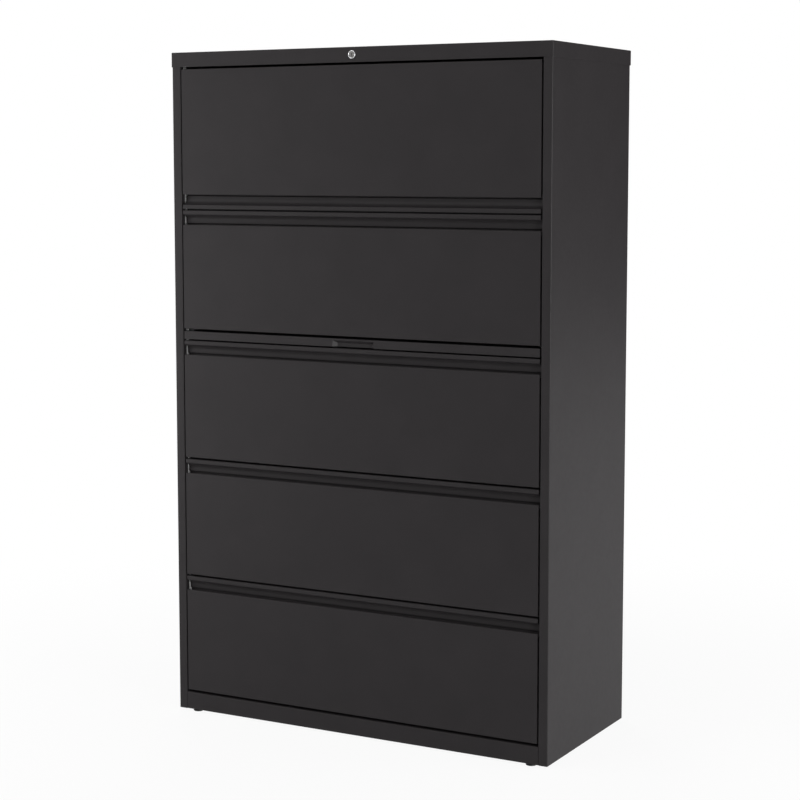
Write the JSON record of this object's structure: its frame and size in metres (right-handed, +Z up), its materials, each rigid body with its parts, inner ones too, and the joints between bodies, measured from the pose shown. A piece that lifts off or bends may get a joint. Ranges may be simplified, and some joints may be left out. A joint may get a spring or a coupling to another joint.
{
  "type": "lateral filing cabinet",
  "caption": "Tall steel lateral filing cabinet with wide drawers, a flip-up top door, a pull-out posting shelf and a lock in the cap.",
  "frame": {"origin": "on the floor, under the middle of the bounding box", "axes": "+X to the right as seen from the front, +Y to the back, +Z up"},
  "size_m": [1.0668, 0.4756, 1.7177],
  "materials": {
    "charcoal_paint": "satin powder coat",
    "zinc_plate": "bright zinc plating",
    "lock_chrome": "satin chrome",
    "black_plastic": "matte moulded",
    "bare_iron": "bare"
  },
  "bodies": {
    "case": {"left_side_panel": "charcoal_paint", "right_side_panel": "charcoal_paint", "top_cap": "charcoal_paint", "base_pan": "charcoal_paint", "back_panel": "charcoal_paint", "counterweight": "bare_iron", "glide_front_left": "black_plastic", "glide_front_right": "black_plastic", "glide_rear_left": "black_plastic", "glide_rear_right": "black_plastic", "binder_shelf": "charcoal_paint", "shelf_runner_left": "zinc_plate", "shelf_runner_right": "zinc_plate", "door_track_left": "zinc_plate", "door_track_right": "zinc_plate", "lock_barrel": "lock_chrome", "drawer_1_slide_outer_left": "zinc_plate", "drawer_1_slide_outer_right": "zinc_plate", "drawer_2_slide_outer_left": "zinc_plate", "drawer_2_slide_outer_right": "zinc_plate", "drawer_3_slide_outer_left": "zinc_plate", "drawer_3_slide_outer_right": "zinc_plate", "drawer_4_slide_outer_left": "zinc_plate", "drawer_4_slide_outer_right": "zinc_plate"},
    "drawer_1": {"drawer_1_front": "charcoal_paint", "drawer_1_tray": "charcoal_paint", "drawer_1_hang_rail": "zinc_plate", "drawer_1_slide_inner_left": "zinc_plate", "drawer_1_slide_inner_right": "zinc_plate"},
    "drawer_1_slide_middles": {"drawer_1_slide_middle_left": "zinc_plate", "drawer_1_slide_middle_right": "zinc_plate"},
    "drawer_2": {"drawer_2_front": "charcoal_paint", "drawer_2_tray": "charcoal_paint", "drawer_2_hang_rail": "zinc_plate", "drawer_2_slide_inner_left": "zinc_plate", "drawer_2_slide_inner_right": "zinc_plate"},
    "drawer_2_slide_middles": {"drawer_2_slide_middle_left": "zinc_plate", "drawer_2_slide_middle_right": "zinc_plate"},
    "drawer_3": {"drawer_3_front": "charcoal_paint", "drawer_3_tray": "charcoal_paint", "drawer_3_hang_rail": "zinc_plate", "drawer_3_slide_inner_left": "zinc_plate", "drawer_3_slide_inner_right": "zinc_plate"},
    "drawer_3_slide_middles": {"drawer_3_slide_middle_left": "zinc_plate", "drawer_3_slide_middle_right": "zinc_plate"},
    "drawer_4": {"drawer_4_front": "charcoal_paint", "drawer_4_tray": "charcoal_paint", "drawer_4_hang_rail": "zinc_plate", "drawer_4_slide_inner_left": "zinc_plate", "drawer_4_slide_inner_right": "zinc_plate"},
    "drawer_4_slide_middles": {"drawer_4_slide_middle_left": "zinc_plate", "drawer_4_slide_middle_right": "zinc_plate"},
    "posting_shelf": {"posting_shelf": "charcoal_paint"},
    "door_carriage": {"door_carriage_left": "black_plastic", "door_carriage_right": "black_plastic"},
    "door": {"door_panel": "charcoal_paint", "door_liner": "charcoal_paint"},
    "lock_plug": {"lock_plug": "lock_chrome"},
    "lock_cross_bar": {"lock_cross_bar": "zinc_plate"},
    "interlock_bar": {"interlock_bar": "zinc_plate"}
  },
  "joints": [
    {"name": "drawer_1_slide", "type": "slide", "parent": "case", "child": "drawer_1", "axis": [0, -1, 0], "range_m": [0, 0.4]},
    {"name": "drawer_1_middles", "type": "slide", "parent": "case", "child": "drawer_1_slide_middles", "axis": [0, -1, 0], "range_m": [0, 0.2]},
    {"name": "drawer_2_slide", "type": "slide", "parent": "case", "child": "drawer_2", "axis": [0, -1, 0], "range_m": [0, 0.4]},
    {"name": "drawer_2_middles", "type": "slide", "parent": "case", "child": "drawer_2_slide_middles", "axis": [0, -1, 0], "range_m": [0, 0.2]},
    {"name": "drawer_3_slide", "type": "slide", "parent": "case", "child": "drawer_3", "axis": [0, -1, 0], "range_m": [0, 0.4]},
    {"name": "drawer_3_middles", "type": "slide", "parent": "case", "child": "drawer_3_slide_middles", "axis": [0, -1, 0], "range_m": [0, 0.2]},
    {"name": "drawer_4_slide", "type": "slide", "parent": "case", "child": "drawer_4", "axis": [0, -1, 0], "range_m": [0, 0.4]},
    {"name": "drawer_4_middles", "type": "slide", "parent": "case", "child": "drawer_4_slide_middles", "axis": [0, -1, 0], "range_m": [0, 0.2]},
    {"name": "posting_shelf_slide", "type": "slide", "parent": "case", "child": "posting_shelf", "axis": [0, -1, 0], "range_m": [0, 0.3]},
    {"name": "door_recede", "type": "slide", "parent": "case", "child": "door_carriage", "axis": [0, 1, 0], "range_m": [0, 0.285]},
    {"name": "door_swing", "type": "hinge", "parent": "door_carriage", "child": "door", "pos_m": [0, -0.2038, 1.648], "axis": [-1, 0, 0], "range_deg": [0, 90]},
    {"name": "lock_turn", "type": "hinge", "parent": "case", "child": "lock_plug", "pos_m": [0, -0.2353, 1.6992], "axis": [0, -1, 0], "range_deg": [0, 90]},
    {"name": "cross_bar_push", "type": "slide", "parent": "case", "child": "lock_cross_bar", "axis": [1, 0, 0], "range_m": [0, 0.01414]},
    {"name": "interlock_lift", "type": "slide", "parent": "case", "child": "interlock_bar", "axis": [0, 0, 1], "range_m": [0, 0.0072]}
  ],
  "couplings": [
    {"joint": "drawer_1_middles", "follows": "drawer_1_slide", "ratio": 0.5},
    {"joint": "drawer_2_middles", "follows": "drawer_2_slide", "ratio": 0.5},
    {"joint": "drawer_3_middles", "follows": "drawer_3_slide", "ratio": 0.5},
    {"joint": "drawer_4_middles", "follows": "drawer_4_slide", "ratio": 0.5},
    {"joint": "door_recede", "follows": "door_swing", "m_per_rad": 0.1814},
    {"joint": "lock_turn", "follows": "cross_bar_push", "rad_per_m": 111.09},
    {"joint": "interlock_lift", "follows": "cross_bar_push", "ratio": 0.5}
  ]
}
